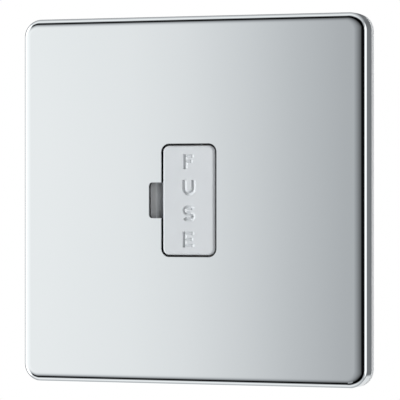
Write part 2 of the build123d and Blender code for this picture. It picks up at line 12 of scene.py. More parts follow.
import bpy
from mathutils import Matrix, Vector


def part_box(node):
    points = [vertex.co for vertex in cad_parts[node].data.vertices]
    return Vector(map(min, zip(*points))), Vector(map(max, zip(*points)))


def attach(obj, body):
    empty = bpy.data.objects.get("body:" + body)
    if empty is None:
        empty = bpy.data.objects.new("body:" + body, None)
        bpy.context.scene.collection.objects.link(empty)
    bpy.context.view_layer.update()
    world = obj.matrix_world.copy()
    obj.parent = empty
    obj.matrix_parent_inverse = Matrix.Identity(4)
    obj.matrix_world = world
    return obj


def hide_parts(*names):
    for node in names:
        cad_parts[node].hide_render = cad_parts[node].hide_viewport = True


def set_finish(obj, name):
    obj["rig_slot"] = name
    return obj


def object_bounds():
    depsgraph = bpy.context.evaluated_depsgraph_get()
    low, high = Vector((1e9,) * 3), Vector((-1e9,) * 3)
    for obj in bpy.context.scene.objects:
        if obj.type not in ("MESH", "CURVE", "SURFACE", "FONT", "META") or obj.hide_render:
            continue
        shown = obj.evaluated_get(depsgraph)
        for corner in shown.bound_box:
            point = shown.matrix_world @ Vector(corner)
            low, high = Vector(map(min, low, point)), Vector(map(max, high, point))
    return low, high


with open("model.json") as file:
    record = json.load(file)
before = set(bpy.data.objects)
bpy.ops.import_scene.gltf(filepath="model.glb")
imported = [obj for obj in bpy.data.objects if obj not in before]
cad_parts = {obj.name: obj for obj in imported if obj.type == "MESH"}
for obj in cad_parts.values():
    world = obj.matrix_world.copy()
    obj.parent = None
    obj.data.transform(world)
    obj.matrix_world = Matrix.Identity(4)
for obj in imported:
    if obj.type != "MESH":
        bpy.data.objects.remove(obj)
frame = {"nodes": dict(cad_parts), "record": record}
nodes = frame["nodes"]
cad_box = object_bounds()
MM = 0.001
NEAR = 1e-6


# %% [markdown]
# ## Small tools
# Every operator works on what is selected, and the imported solids arrive selected, so each
# step first clears the selection. Edges are then picked by a rule on their two end points,
# as one would pick them by eye in edit mode. Two points closer than NEAR, a thousandth of a
# millimetre, count as one.

# %% Selecting
def take(obj):
    """Selects this object alone."""
    if bpy.context.object and bpy.context.object.mode != "OBJECT":
        bpy.ops.object.mode_set(mode="OBJECT")
    bpy.ops.object.select_all(action="DESELECT")
    obj.select_set(True)
    bpy.context.view_layer.objects.active = obj


def start_picking(obj, kind):
    """Clears what is selected in edit mode, and goes to object mode, where code can select."""
    take(obj)
    bpy.ops.object.mode_set(mode="EDIT")
    bpy.ops.mesh.select_mode(type=kind)
    bpy.ops.mesh.select_all(action="DESELECT")
    bpy.ops.object.mode_set(mode="OBJECT")


def along_y(a, b):
    """Rule for edges that run from front to back."""
    return abs(a.x - b.x) < NEAR and abs(a.z - b.z) < NEAR


def at_depth(y):
    """Rule for edges that lie in the plane at this depth."""
    return lambda a, b: abs(a.y - y) < NEAR and abs(b.y - y) < NEAR


# %% First shapes
BAR_SIDES = 64


def block(name, low, high):
    """A cube primitive, added at its size and place."""
    low = Vector(low)
    high = Vector(high)
    bpy.ops.object.select_all(action="DESELECT")
    bpy.ops.mesh.primitive_cube_add(size=1.0, location=(low + high) / 2)
    obj = bpy.context.object
    obj.name = name
    obj.scale = high - low
    bpy.ops.object.transform_apply(location=True, rotation=True, scale=True)
    return obj


def round_bar(name, radius, centre, length):
    """A cylinder primitive along Z."""
    bpy.ops.object.select_all(action="DESELECT")
    bpy.ops.mesh.primitive_cylinder_add(vertices=BAR_SIDES, radius=radius, depth=length, location=centre)
    obj = bpy.context.object
    obj.name = name
    bpy.ops.object.transform_apply(location=True, rotation=True, scale=True)
    return obj


# %% Shaping
def round_edges(obj, rule, radius, steps):
    """Rounds the edges whose end points keep the rule."""
    start_picking(obj, "EDGE")
    points = obj.data.vertices
    for edge in obj.data.edges:
        a, b = (points[i].co for i in edge.vertices)
        edge.select = rule(a, b)
    bpy.ops.object.mode_set(mode="EDIT")
    bpy.ops.mesh.bevel(offset=radius, segments=steps, profile=0.5, affect="EDGES", clamp_overlap=False)
    bpy.ops.object.mode_set(mode="OBJECT")


def apply_modifier(obj, kind, **settings):
    """Adds a modifier with these settings and applies it."""
    take(obj)
    modifier = obj.modifiers.new(kind.lower(), kind)
    for name, value in settings.items():
        setattr(modifier, name, value)
    bpy.ops.object.modifier_apply(modifier=modifier.name)


def boolean(obj, tool, operation, overlaps=False):
    """Cuts one shape out of another, or joins them, and removes the tool."""
    apply_modifier(obj, "BOOLEAN", object=tool, operation=operation, solver="EXACT", use_self=overlaps)
    bpy.data.objects.remove(tool)


# %% Finishing a piece
def smooth(obj, sharp_over):
    """Smooth shading, except over edges sharper than this many degrees, with flat faces kept flat."""
    take(obj)
    bpy.ops.object.shade_smooth_by_angle(angle=math.radians(sharp_over))
    apply_modifier(obj, "WEIGHTED_NORMAL", keep_sharp=True)


def place(obj, body, slot, *stands_for):
    """Ties a finished piece to its body, its finish and the solids that it stands for."""
    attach(obj, body)
    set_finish(obj, slot)
    if stands_for:
        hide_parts(*stands_for)
    print(f"{obj.name}: {len(obj.data.vertices)} points, on {body}")


# %% [markdown]
# ## The polished cover
# The real cover is pressed from sheet: a flat face whose edge turns over a round of 2.6 mm and
# runs back to the wall. It could be a bevelled copy of the solid, but in a mirror finish every
# facet shows, so the tray is modelled anew from a cube with many steps in its rounds. The open
# back is deleted and the sheet gets its thickness inwards.

# %% Tray of the cover
TRAY_CORNER_R = 4.5 * MM
TRAY_EDGE_R = 2.6 * MM
TRAY_SHEET = 1.0 * MM
ROUND_STEPS = 16
FACES_BACK = 0.99
tray_low, tray_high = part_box("front_plate")
cover_plate = block("cover_plate", tray_low, tray_high)
round_edges(cover_plate, along_y, TRAY_CORNER_R, ROUND_STEPS)
round_edges(cover_plate, at_depth(tray_low.y), TRAY_EDGE_R, ROUND_STEPS)
start_picking(cover_plate, "FACE")
for face in cover_plate.data.polygons:
    face.select = face.normal.y > FACES_BACK
bpy.ops.object.mode_set(mode="EDIT")
bpy.ops.mesh.delete(type="FACE")
bpy.ops.object.mode_set(mode="OBJECT")
apply_modifier(cover_plate, "SOLIDIFY", thickness=TRAY_SHEET, offset=-1, use_even_offset=True)
print("tray:", len(cover_plate.data.polygons), "faces")

# %% [markdown]
# ### The opening
# The carrier's opening and the notch where a screwdriver's tip goes in are punched in one stroke.
# One tool has both shapes, so their joint leaves no seam. A punch also pulls the rim in a little,
# and that thin round is what draws the opening's outline on the metal.

# %% Opening for the carrier, and the prising notch
OPENING_W, OPENING_H, OPENING_R = 14.8 * MM, 28.2 * MM, 2.1 * MM
NOTCH_W, NOTCH_H, NOTCH_R = 3.3 * MM, 8.8 * MM, 0.8 * MM
front_y = tray_low.y
cut_from = front_y - TRAY_SHEET
cut_to = front_y + 2 * TRAY_SHEET
opening = block("opening", (-OPENING_W / 2, cut_from, -OPENING_H / 2), (OPENING_W / 2, cut_to, OPENING_H / 2))
round_edges(opening, along_y, OPENING_R, ROUND_STEPS)
notch_left = -OPENING_W / 2 - NOTCH_W
notch = block("notch", (notch_left, cut_from, -NOTCH_H / 2), (0, cut_to, NOTCH_H / 2))
round_edges(notch, lambda a, b: along_y(a, b) and a.x < notch_left + NEAR, NOTCH_R, ROUND_STEPS // 2)
boolean(opening, notch, "UNION")
boolean(cover_plate, opening, "DIFFERENCE")
print("cover with its opening:", len(cover_plate.data.polygons), "faces")

# %% Rim of the opening
RIM_R = 0.1 * MM
RIM_STEPS = 5
COVER_SHARP = 32


def in_opening(at, margin):
    """Whether a point lies inside the opening's outer sizes, or no further out than the margin."""
    beside = notch_left - margin < at.x < OPENING_W / 2 + margin
    return beside and abs(at.z) < OPENING_H / 2 + margin


def opening_rim(a, b):
    """Rule for edges of the opening on the front face."""
    return in_opening((a + b) / 2, RIM_R) and at_depth(front_y)(a, b)


round_edges(cover_plate, opening_rim, RIM_R, RIM_STEPS)
smooth(cover_plate, COVER_SHARP)
place(cover_plate, "cover", "polished_chrome", "front_plate")


# %% [markdown]
# ## The fuse carrier
# The carrier is one light grey moulding. From the front only its rounded face shows, with the
# word FUSE down the middle. Behind the face are a cradle that grips the fuse's barrel and two legs
# with lugs. A copy of the solid would do for the back, but its face needs finer rounds, and letters
# cut best into a clean mesh. So the face and the back are modelled from cubes and a cylinder and
# joined.

# %% Face of the carrier
CARRIER_R = 1.65 * MM
CARRIER_EDGE_R = 0.6 * MM
CARRIER_FACE = 2.2 * MM
CARRIER_W = 13.9 * MM
carrier_low, carrier_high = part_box("fuse_carrier")
face_low = Vector((-CARRIER_W / 2, carrier_low.y, carrier_low.z))
face_high = Vector((CARRIER_W / 2, carrier_low.y + CARRIER_FACE, carrier_high.z))
carrier = block("carrier", face_low, face_high)
round_edges(carrier, along_y, CARRIER_R, ROUND_STEPS)
round_edges(carrier, at_depth(face_low.y), CARRIER_EDGE_R, ROUND_STEPS // 2)
print("carrier face:", len(carrier.data.polygons), "faces")

# %% Cradle behind the face
FUSE_Y = -2.525 * MM
CRADLE_IN, CRADLE_OUT, CRADLE_HALF = 2.855 * MM, 4.005 * MM, 5.4 * MM
CRADLE_LIP = 1.2 * MM
SINK = 0.1 * MM
back_y = face_high.y - SINK
mouth_y = FUSE_Y + CRADLE_LIP
cradle = round_bar("cradle", CRADLE_OUT, (0, FUSE_Y, 0), 2 * CRADLE_HALF)
web = block("web", (-CRADLE_OUT, back_y, -CRADLE_HALF), (CRADLE_OUT, FUSE_Y, CRADLE_HALF))
barrel_room = round_bar("barrel_room", CRADLE_IN, (0, FUSE_Y, 0), 3 * CRADLE_HALF)
mouth = block("mouth", (-CRADLE_OUT, mouth_y, -2 * CRADLE_HALF),
              (CRADLE_OUT, mouth_y + CRADLE_OUT, 2 * CRADLE_HALF))
boolean(cradle, web, "UNION")
boolean(cradle, barrel_room, "DIFFERENCE")
boolean(cradle, mouth, "DIFFERENCE")
boolean(carrier, cradle, "UNION")
print("carrier with its cradle:", len(carrier.data.polygons), "faces")

# %% Legs and their lugs
LEG_IN, LEG_OUT, LEG_HALF = 5.35 * MM, 6.75 * MM, 4.0 * MM
LUG_OUT, LUG_HALF, LUG_DEPTH = 8.05 * MM, 2.5 * MM, 1.95 * MM
leg_end = carrier_high.y
for side in (-1, 1):
    near, far = sorted((side * LEG_IN, side * LEG_OUT))
    leg = block("leg", (near, back_y, -LEG_HALF), (far, leg_end, LEG_HALF))
    near, far = sorted((side * (LEG_OUT - SINK), side * LUG_OUT))
    lug = block("lug", (near, leg_end - LUG_DEPTH, -LUG_HALF), (far, leg_end, LUG_HALF))
    tip = side * LUG_OUT
    round_edges(lug, lambda a, b: abs(a.x - tip) + abs(b.x - tip) < NEAR and at_depth(leg_end)(a, b),
                LUG_DEPTH / 2, 1)
    boolean(leg, lug, "UNION")
    boolean(carrier, leg, "UNION")
print("carrier with its legs:", len(carrier.data.polygons), "faces")

# %% [markdown]
# ### The engraved word
# FUSE says what the carrier holds, as ON says what a switch does. A text object would do, but its
# walls go straight in. Here the letters are plain strokes of this model's own drawing. Each stroke
# is drawn flat, as on paper, and given the section of a V-shaped groove. The finished tool is stood
# up, set against the face and cut out of it. The tool leans, so the groove has a steep left wall
# and an easy slope on its right: lit from the left, the steep wall is a thin dark line and the slope
# is bright. A stroke that turns a sharp corner gets thin there, so straight strokes are separate
# and run on past the corner.

# %% Strokes
ARC_STEPS = 14


def arc(centre, radii, start, end):
    """Points on an arc, in the mark's own square from -1 to 1."""
    angles = [math.radians(start + (end - start) * i / ARC_STEPS) for i in range(ARC_STEPS + 1)]
    return [(centre[0] + radii[0] * math.cos(t), centre[1] + radii[1] * math.sin(t)) for t in angles]


def flat_curve(name, points, weight=1, closed=False):
    """A curve of straight runs in the XY plane."""
    curve = bpy.data.curves.new(name, "CURVE")
    curve.dimensions = "2D"
    curve.fill_mode = "NONE"
    line = curve.splines.new("POLY")
    line.points.add(len(points) - 1)
    line.use_cyclic_u = closed
    for point, (x, y) in zip(line.points, points):
        point.co = (x, y, 0, 1)
        point.radius = weight
    obj = bpy.data.objects.new(name, curve)
    bpy.context.scene.collection.objects.link(obj)
    return obj


def stroke_tool(points, weight, section):
    """A bar of this section, scaled by the stroke's weight, along the stroke, as a closed mesh."""
    obj = flat_curve("stroke", points, weight)
    obj.data.bevel_mode = "OBJECT"
    obj.data.bevel_object = section
    obj.data.use_fill_caps = True
    take(obj)
    bpy.ops.object.convert(target="MESH")
    bpy.ops.object.mode_set(mode="EDIT")
    bpy.ops.mesh.select_all(action="SELECT")
    bpy.ops.mesh.remove_doubles(threshold=NEAR)
    bpy.ops.mesh.normals_make_consistent(inside=False)
    bpy.ops.object.mode_set(mode="OBJECT")
    return bpy.context.object


# %% Engraving
TOOL_RISE = 0.2 * MM


def engrave(obj, marks, half_size, groove, lean, facing):
    """Cuts marks into a face that looks to the front (-1) or to the back (1).

    A mark is a centre and its strokes, a stroke is a weight and its points, and the groove is
    half its width and its depth.
    """
    half_width, depth = groove
    wide = half_width * (1 + TOOL_RISE / depth)
    section = flat_curve("groove", [(-wide, TOOL_RISE), (wide, TOOL_RISE), (0, -depth)], closed=True)
    tools = []
    for centre, strokes in marks:
        for weight, stroke in strokes:
            # From behind, left and right change places.
            flat = [(-facing * centre.x + u * half_size[0], centre.z + v * half_size[1]) for u, v in stroke]
            tools.append(stroke_tool(flat, weight, section))
    bpy.data.objects.remove(section)
    tool = tools[0]
    take(tool)
    for other in tools:
        other.select_set(True)
    bpy.ops.object.join()
    for point in tool.data.vertices:
        point.co.x += lean * point.co.z
    # Stood up against the face, and turned half round where the face looks back.
    tool.rotation_euler = (math.radians(90), 0, math.radians(90 + 90 * facing))
    tool.location.y = marks[0][0].y
    bpy.ops.object.transform_apply(location=True, rotation=True, scale=True)
    boolean(obj, tool, "DIFFERENCE", True)


# %% Letters
ARM_WEIGHT = 0.75
ARM_TIP = 0.25
S_WEIGHT = 0.9


def arm(start, end, height):
    """A lighter stroke across, with a short upright cut that closes its tip."""
    return [(ARM_WEIGHT, [(start, height), (end, height)]),
            (ARM_WEIGHT, [(end, height - ARM_TIP), (end, height + ARM_TIP)])]


LETTERS = {
    "F": [(1, [(-0.8, -1.33), (-0.8, 1.17)]), *arm(-0.8, 0.78, 0.86), *arm(-0.8, 0.54, -0.03)],
    "U": [(1, [(-1, 1.2)] + arc((0, -0.22), (1, 0.8), 180, 360) + [(1, 1.2)])],
    "S": [(S_WEIGHT, arc((0.37, 0.5), (0.63, 0.5), 30, 90) + arc((-0.37, 0.5), (0.63, 0.5), 90, 270)
           + arc((0.37, -0.5), (0.63, 0.5), 90, -90) + arc((-0.37, -0.5), (0.63, 0.5), -90, -150))],
    "E": [(1, [(-0.92, -1.32), (-0.92, 1.32)]), *arm(-0.92, 0.84, 1.02), *arm(-0.92, 0.64, 0),
          *arm(-0.92, 0.84, -1.02)],
}
print("strokes:", {letter: len(strokes) for letter, strokes in LETTERS.items()})

# %% The word on the carrier
LETTER_HALF = (1.2 * MM, 1.48 * MM)
LETTER_PITCH = 6.5 * MM
LETTER_GROOVE = (0.6 * MM, 0.48 * MM)
LETTER_LEAN = 0.8
WORD_X = 0.13 * MM
CARRIER_SHARP = 18
word_top = LETTER_PITCH * (len(LETTERS) - 1) / 2
word = []
for row, strokes in enumerate(LETTERS.values()):
    word.append((Vector((WORD_X, face_low.y, word_top - row * LETTER_PITCH)), strokes))
engrave(carrier, word, LETTER_HALF, LETTER_GROOVE, LETTER_LEAN, -1)
smooth(carrier, CARRIER_SHARP)
place(carrier, "carrier", "carrier_moulding", "fuse_carrier")

# %% [markdown]
# ## Pieces with softened edges
# The other solids already have their true shape, but a solid's edges are perfectly sharp, and no
# moulding, pressing or screw has such edges. Modelling each anew would give nothing more than a
# bevel does. So a copy of each is merged, its flat faces are cleaned of stray edges and every
# sharp edge gets a small bevel that catches the light.

# %% Finish and bevel of each piece
# solid: its finish, and the width of its bevel in millimetres
FINISHES = {
    "plate_liner": ("pale_moulding", 0.25),
    "mounting_frame": ("zinc_steel", 0.12),
    "cover_clips": ("spring_steel", 0.06),
    "front_housing": ("grey_moulding", 0.15),
    "rear_housing": ("grey_moulding", 0.2),
    "fuse_barrel": ("fuse_ceramic", 0.1),
    "fuse_end_caps": ("nickel", 0.08),
    "supply_fuse_contact": ("bronze_strip", 0.08),
    "load_fuse_contact": ("bronze_strip", 0.08),
    "supply_live_terminal": ("brass", 0.1),
    "load_live_terminal": ("brass", 0.1),
    "neutral_link": ("brass", 0.1),
    "earth_link": ("brass", 0.1),
    "earth_strap": ("bronze_strip", 0.08),
    "cover_earth_spring": ("spring_steel", 0.05),
    "live_terminal_screws": ("nickel", 0.1),
    "neutral_terminal_screws": ("nickel", 0.1),
    "earth_terminal_screws": ("nickel", 0.1),
    "contact_rivets": ("bronze_strip", 0.05),
    "earth_rivets": ("bronze_strip", 0.05),
    "housing_screws": ("zinc_steel", 0.1),
    "frame_screws": ("zinc_steel", 0.1),
}
print("pieces to soften:", len(FINISHES))

# %% Copies with a small bevel
FLAT = math.radians(0.2)
CREASE = math.radians(35)
BEVEL_STEPS = 2


def softened(node, width):
    """A merged copy of one solid with small bevels on its sharp edges."""
    obj = bpy.data.objects.new(node + "_soft", nodes[node].data.copy())
    bpy.context.scene.collection.objects.link(obj)
    take(obj)
    bpy.ops.object.mode_set(mode="EDIT")
    bpy.ops.mesh.select_all(action="SELECT")
    bpy.ops.mesh.remove_doubles(threshold=NEAR)
    bpy.ops.mesh.dissolve_limited(angle_limit=FLAT)
    bpy.ops.object.mode_set(mode="OBJECT")
    apply_modifier(obj, "BEVEL", width=width, segments=BEVEL_STEPS, limit_method="ANGLE",
                   angle_limit=CREASE)
    return obj


soft_pieces = {node: softened(node, width * MM) for node, (slot, width) in FINISHES.items()}
print("softened:", len(soft_pieces))

# %% [markdown]
# ### Terminal marks
# An electrician needs to know which terminal is which, so the back of the housing carries an L
# for live, an N for neutral and the earth sign beside each terminal's screw hole. They are moulded
# in, so they are cut with the same tool as the word, but with a groove that doesn't lean.

# %% Marks on the back
# x in millimetres: the strokes of L, N and the earth sign
MARKS = {
    0.0: [[(-1, 1.2), (-1, -1.2)], [(-1, -1), (1.2, -1)]],
    -14.5: [[(-1, -1), (-1, 1)], [(-1, 1), (1, -1)], [(1, -1), (1, 1)]],
    14.5: [[(0, 1.1), (0, 0.1)], [(-1, 0.1), (1, 0.1)], [(-0.6, -0.45), (0.6, -0.45)],
           [(-0.2, -1), (0.2, -1)]],
}
MARK_Z = 15.0 * MM
MARK_HALF = (1.15 * MM, 1.5 * MM)
MARK_GROOVE = (0.4 * MM, 0.5 * MM)
back_of_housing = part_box("rear_housing")[1].y
marks = []
for x, strokes in MARKS.items():
    for end in (-1, 1):
        centre = Vector((x * MM, back_of_housing, end * MARK_Z))
        marks.append((centre, [(1, stroke) for stroke in strokes]))
engrave(soft_pieces["rear_housing"], marks, MARK_HALF, MARK_GROOVE, 0, 1)
print("housing with marks:", len(soft_pieces["rear_housing"].data.polygons), "faces")

# %% Place the softened pieces
SOFT_SHARP = 40
bodies = frame["record"]["behaviour"]["bodies"]
body_of = {node: body for body, members in bodies.items() for node in members}
for node, piece in soft_pieces.items():
    smooth(piece, SOFT_SHARP)
    place(piece, body_of[node], FINISHES[node][0], node)

# %% [markdown]
# ## Finishes
# Pictures of metal and plastic could be wrapped around the pieces, but they would need seams and
# files. So all finishes are procedural and read Object coordinates, and they stay on the piece from
# any side. Two effects are shared, so each is a node group: a slow change of gloss, as handling and
# polishing leave it, and a fine grain for the surface.

# %% An empty node group
def new_group(name, inputs, output, output_type):
    """A shader group with float inputs and one output."""
    group = bpy.data.node_groups.new(name, "ShaderNodeTree")
    for label, value in inputs.items():
        socket = group.interface.new_socket(label, in_out="INPUT", socket_type="NodeSocketFloat")
        socket.default_value = value
    group.interface.new_socket(output, in_out="OUTPUT", socket_type=output_type)
    return group, group.nodes.new("NodeGroupInput"), group.nodes.new("NodeGroupOutput")


# %% Slow change of gloss
CLOUD_DETAIL = 4.0
CLOUD_LOW, CLOUD_HIGH = 0.3, 0.7
gloss_change, source, result = new_group(
    "gloss_change", {"Scale": 100.0, "Low": 0.2, "High": 0.4}, "Value", "NodeSocketFloat")
spot = gloss_change.nodes.new("ShaderNodeTexCoord")
cloud = gloss_change.nodes.new("ShaderNodeTexNoise")
cloud.inputs["Detail"].default_value = CLOUD_DETAIL
span = gloss_change.nodes.new("ShaderNodeMapRange")
span.inputs["From Min"].default_value = CLOUD_LOW
span.inputs["From Max"].default_value = CLOUD_HIGH
gloss_change.links.new(spot.outputs["Object"], cloud.inputs["Vector"])
gloss_change.links.new(source.outputs["Scale"], cloud.inputs["Scale"])
gloss_change.links.new(cloud.outputs["Fac"], span.inputs["Value"])
gloss_change.links.new(source.outputs["Low"], span.inputs["To Min"])
gloss_change.links.new(source.outputs["High"], span.inputs["To Max"])
gloss_change.links.new(span.outputs["Result"], result.inputs["Value"])
print("group:", gloss_change.name, len(gloss_change.nodes), "nodes")

# %% Fine grain
SPECK_DETAIL = 3.0
fine_grain, source, result = new_group(
    "fine_grain", {"Scale": 4000.0, "Stretch": 1.0, "Height": 0.00001}, "Normal", "NodeSocketVector")
spot = fine_grain.nodes.new("ShaderNodeTexCoord")
pull = fine_grain.nodes.new("ShaderNodeCombineXYZ")
pull.inputs["X"].default_value = 1.0
pull.inputs["Y"].default_value = 1.0
stretch = fine_grain.nodes.new("ShaderNodeVectorMath")
stretch.operation = "MULTIPLY"
speck = fine_grain.nodes.new("ShaderNodeTexNoise")
speck.inputs["Detail"].default_value = SPECK_DETAIL
relief = fine_grain.nodes.new("ShaderNodeBump")
relief.inputs["Strength"].default_value = 1.0
fine_grain.links.new(source.outputs["Stretch"], pull.inputs["Z"])
fine_grain.links.new(spot.outputs["Object"], stretch.inputs[0])
fine_grain.links.new(pull.outputs["Vector"], stretch.inputs[1])
fine_grain.links.new(stretch.outputs["Vector"], speck.inputs["Vector"])
fine_grain.links.new(source.outputs["Scale"], speck.inputs["Scale"])
fine_grain.links.new(speck.outputs["Fac"], relief.inputs["Height"])
fine_grain.links.new(source.outputs["Height"], relief.inputs["Distance"])
fine_grain.links.new(relief.outputs["Normal"], result.inputs["Normal"])
print("group:", fine_grain.name, len(fine_grain.nodes), "nodes")


# %% A finish from the shared groups
def finish(name, colour, shade, metallic, gloss, grain):
    """A finish: two nearby colours, gloss as (scale, low, high), grain as (scale, stretch, height)."""
    material = bpy.data.materials.new(name)
    material.use_nodes = True
    tree = material.node_tree
    shader = tree.nodes["Principled BSDF"]
    shader.inputs["Metallic"].default_value = metallic
    tone = tree.nodes.new("ShaderNodeGroup")
    tone.node_tree = gloss_change
    for label, value in zip(("Scale", "Low", "High"), (gloss[0] / 2, 0.0, 1.0)):
        tone.inputs[label].default_value = value
    mix = tree.nodes.new("ShaderNodeMix")
    mix.data_type = "RGBA"
    mix.inputs["A"].default_value = (*colour, 1)
    mix.inputs["B"].default_value = (*shade, 1)
    tree.links.new(tone.outputs["Value"], mix.inputs["Factor"])
    tree.links.new(mix.outputs["Result"], shader.inputs["Base Color"])
    change = tree.nodes.new("ShaderNodeGroup")
    change.node_tree = gloss_change
    for label, value in zip(("Scale", "Low", "High"), gloss):
        change.inputs[label].default_value = value
    tree.links.new(change.outputs["Value"], shader.inputs["Roughness"])
    grained = tree.nodes.new("ShaderNodeGroup")
    grained.node_tree = fine_grain
    for label, value in zip(("Scale", "Stretch", "Height"), grain):
        grained.inputs[label].default_value = value
    tree.links.new(grained.outputs["Normal"], shader.inputs["Normal"])
    return material


RECIPES = {
    "polished_chrome": ((0.783, 0.816, 0.828), (0.774, 0.811, 0.823), 1.0,
                        (60, 0.008, 0.016), (900, 1.0, 0.0000001)),
    "carrier_moulding": ((0.532, 0.556, 0.575), (0.522, 0.546, 0.565), 0.0,
                         (400, 0.28, 0.36), (5000, 1.0, 0.000004)),
    "pale_moulding": ((0.47, 0.48, 0.49), (0.44, 0.45, 0.46), 0.0,
                      (300, 0.35, 0.45), (2000, 1.0, 0.0000005)),
    "grey_moulding": ((0.47, 0.48, 0.49), (0.45, 0.46, 0.47), 0.0,
                      (300, 0.42, 0.55), (3500, 1.0, 0.000012)),
    "zinc_steel": ((0.66, 0.67, 0.67), (0.58, 0.60, 0.62), 1.0,
                   (250, 0.24, 0.40), (2500, 1.0, 0.000003)),
    "spring_steel": ((0.50, 0.50, 0.50), (0.44, 0.44, 0.45), 1.0,
                     (400, 0.22, 0.34), (3000, 0.1, 0.000003)),
    "fuse_ceramic": ((0.82, 0.80, 0.75), (0.78, 0.76, 0.71), 0.0,
                     (500, 0.45, 0.6), (4000, 1.0, 0.000006)),
    "nickel": ((0.72, 0.70, 0.66), (0.66, 0.64, 0.60), 1.0,
               (500, 0.14, 0.24), (3000, 1.0, 0.000002)),
    "brass": ((0.80, 0.60, 0.28), (0.72, 0.52, 0.24), 1.0,
              (400, 0.18, 0.32), (3000, 0.08, 0.000003)),
    "bronze_strip": ((0.72, 0.49, 0.27), (0.63, 0.41, 0.22), 1.0,
                     (400, 0.22, 0.36), (3000, 0.1, 0.000003)),
    # near-black painted shade for the walls of the opening, standing in for the dark gap around the carrier
    "painted_shade_edge": ((0.035, 0.035, 0.035), (0.025, 0.025, 0.025), 1.0,
                 (400, 0.5, 0.65), (3000, 1.0, 0.000003)),
}
MATERIALS = {name: finish(name, *recipe) for name, recipe in RECIPES.items()}
for obj in [cover_plate, carrier, *soft_pieces.values()]:
    obj.data.materials.clear()
    obj.data.materials.append(MATERIALS[obj["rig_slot"]])
print("finishes:", sorted(MATERIALS))

# %% [markdown]
# ### Painted shade on the walls of the opening
# The punch leaves bare sheet on the walls of the opening, and nobody polishes it. Their near-black
# finish is painted shade: it draws the dark gap around the carrier. A second piece would leave a
# seam, so those faces of the cover just get a second finish.

# %% Painted shade on the cut edge of the opening
WALL_TILT = 0.1
# The walls of the opening get a near-black finish, which is painted shade for the gap around the carrier.
cover_plate.data.materials.append(MATERIALS["painted_shade_edge"])
walls = [face for face in cover_plate.data.polygons
         if in_opening(face.center, NEAR) and abs(face.normal.y) < WALL_TILT]
for face in walls:
    face.material_index = 1
print("cut edge:", len(walls), "faces")

# %% [markdown]
# ## Camera
# The unit is seen a little from the right, level with its middle, from far enough away that its
# edges hardly converge. The angle could be set by eye. Here it, the distance and the lens were
# found by fitting the cover's outline.

# %% Camera
CAMERA_AZIMUTH = math.radians(22.09)
CAMERA_DISTANCE = 0.7684
CAMERA_LENS = 275.06
SENSOR_WIDTH = 36.0
CENTRE_SHIFT = (-0.0028, 0.0008)
CLIP_START = 0.01
camera_data = bpy.data.cameras.new("camera")
camera_data.lens = CAMERA_LENS
camera_data.sensor_width = SENSOR_WIDTH
camera_data.shift_x, camera_data.shift_y = CENTRE_SHIFT
camera_data.clip_start = CLIP_START
camera = bpy.data.objects.new("camera", camera_data)
bpy.context.scene.collection.objects.link(camera)
camera.location = (CAMERA_DISTANCE * math.sin(CAMERA_AZIMUTH),
                   -CAMERA_DISTANCE * math.cos(CAMERA_AZIMUTH), 0)
camera.rotation_euler = (math.radians(90), 0, CAMERA_AZIMUTH)
bpy.context.scene.camera = camera
print("camera at", tuple(round(v, 3) for v in camera.location))


# %% [markdown]
# ## Room
# The picture's ground is plain white. A strong lamp on a backdrop would spill on the object, so
# the world is white only to rays that see it, straight or in a mirror, and gives everything else
# a little light.

# %% Nodes
def add_node(tree, kind, **settings):
    """A node in this tree with these settings."""
    made = tree.nodes.new(kind)
    for name, value in settings.items():
        setattr(made, name, value)
    return made


def maths(tree, operation, *values):
    """A math node on sockets or plain numbers."""
    made = add_node(tree, "ShaderNodeMath", operation=operation)
    for socket, value in zip(made.inputs, values):
        if isinstance(value, bpy.types.NodeSocket):
            tree.links.new(value, socket)
        else:
            socket.default_value = value
    return made.outputs["Value"]


# %% White room
ROOM_LIGHT = 0.1
scene = bpy.context.scene
scene.view_settings.view_transform = "Standard"
world = bpy.data.worlds.new("room")
scene.world = world
world.use_nodes = True
room_tree = world.node_tree
light_path = add_node(room_tree, "ShaderNodeLightPath")
mirrored = maths(room_tree, "MAXIMUM", light_path.outputs["Is Glossy Ray"],
                 light_path.outputs["Is Transmission Ray"])
seen = maths(room_tree, "MAXIMUM", mirrored, light_path.outputs["Is Camera Ray"])
strength = add_node(room_tree, "ShaderNodeMapRange")
strength.inputs["To Min"].default_value = ROOM_LIGHT
strength.inputs["To Max"].default_value = 1.0
room_tree.links.new(seen, strength.inputs["Value"])
background = room_tree.nodes["Background"]
background.inputs["Color"].default_value = (1, 1, 1, 1)
room_tree.links.new(strength.outputs["Result"], background.inputs["Strength"])
print("room:", len(room_tree.nodes), "nodes")

# %% [markdown]
# ## Tent
# A mirror shows what stands around it, so polished metal is lit by its surroundings. In a studio
# that is a tent of white cloth with black flags. It could be made of many cards and lamps, each
# placed by trial. Here one large sphere carries all the greys, by direction, so each band on the
# metal is one line below. Only reflections see the tent.

# %% Sphere of the tent
TENT_RADIUS = 20.0
TENT_SEGMENTS, TENT_RINGS = 64, 32
bpy.ops.object.select_all(action="DESELECT")
bpy.ops.mesh.primitive_uv_sphere_add(segments=TENT_SEGMENTS, ring_count=TENT_RINGS, radius=TENT_RADIUS)
tent = bpy.context.object
tent.name = "studio_tent"
tent.visible_camera = False
tent.visible_diffuse = False
tent.visible_shadow = False
tent.visible_transmission = False
tent.visible_volume_scatter = False
tent_cloth = bpy.data.materials.new("tent_cloth")
tent_cloth.use_nodes = True
tent_tree = tent_cloth.node_tree
tent_tree.nodes.clear()
tent.data.materials.append(tent_cloth)
print("tent:", len(tent.data.polygons), "faces")


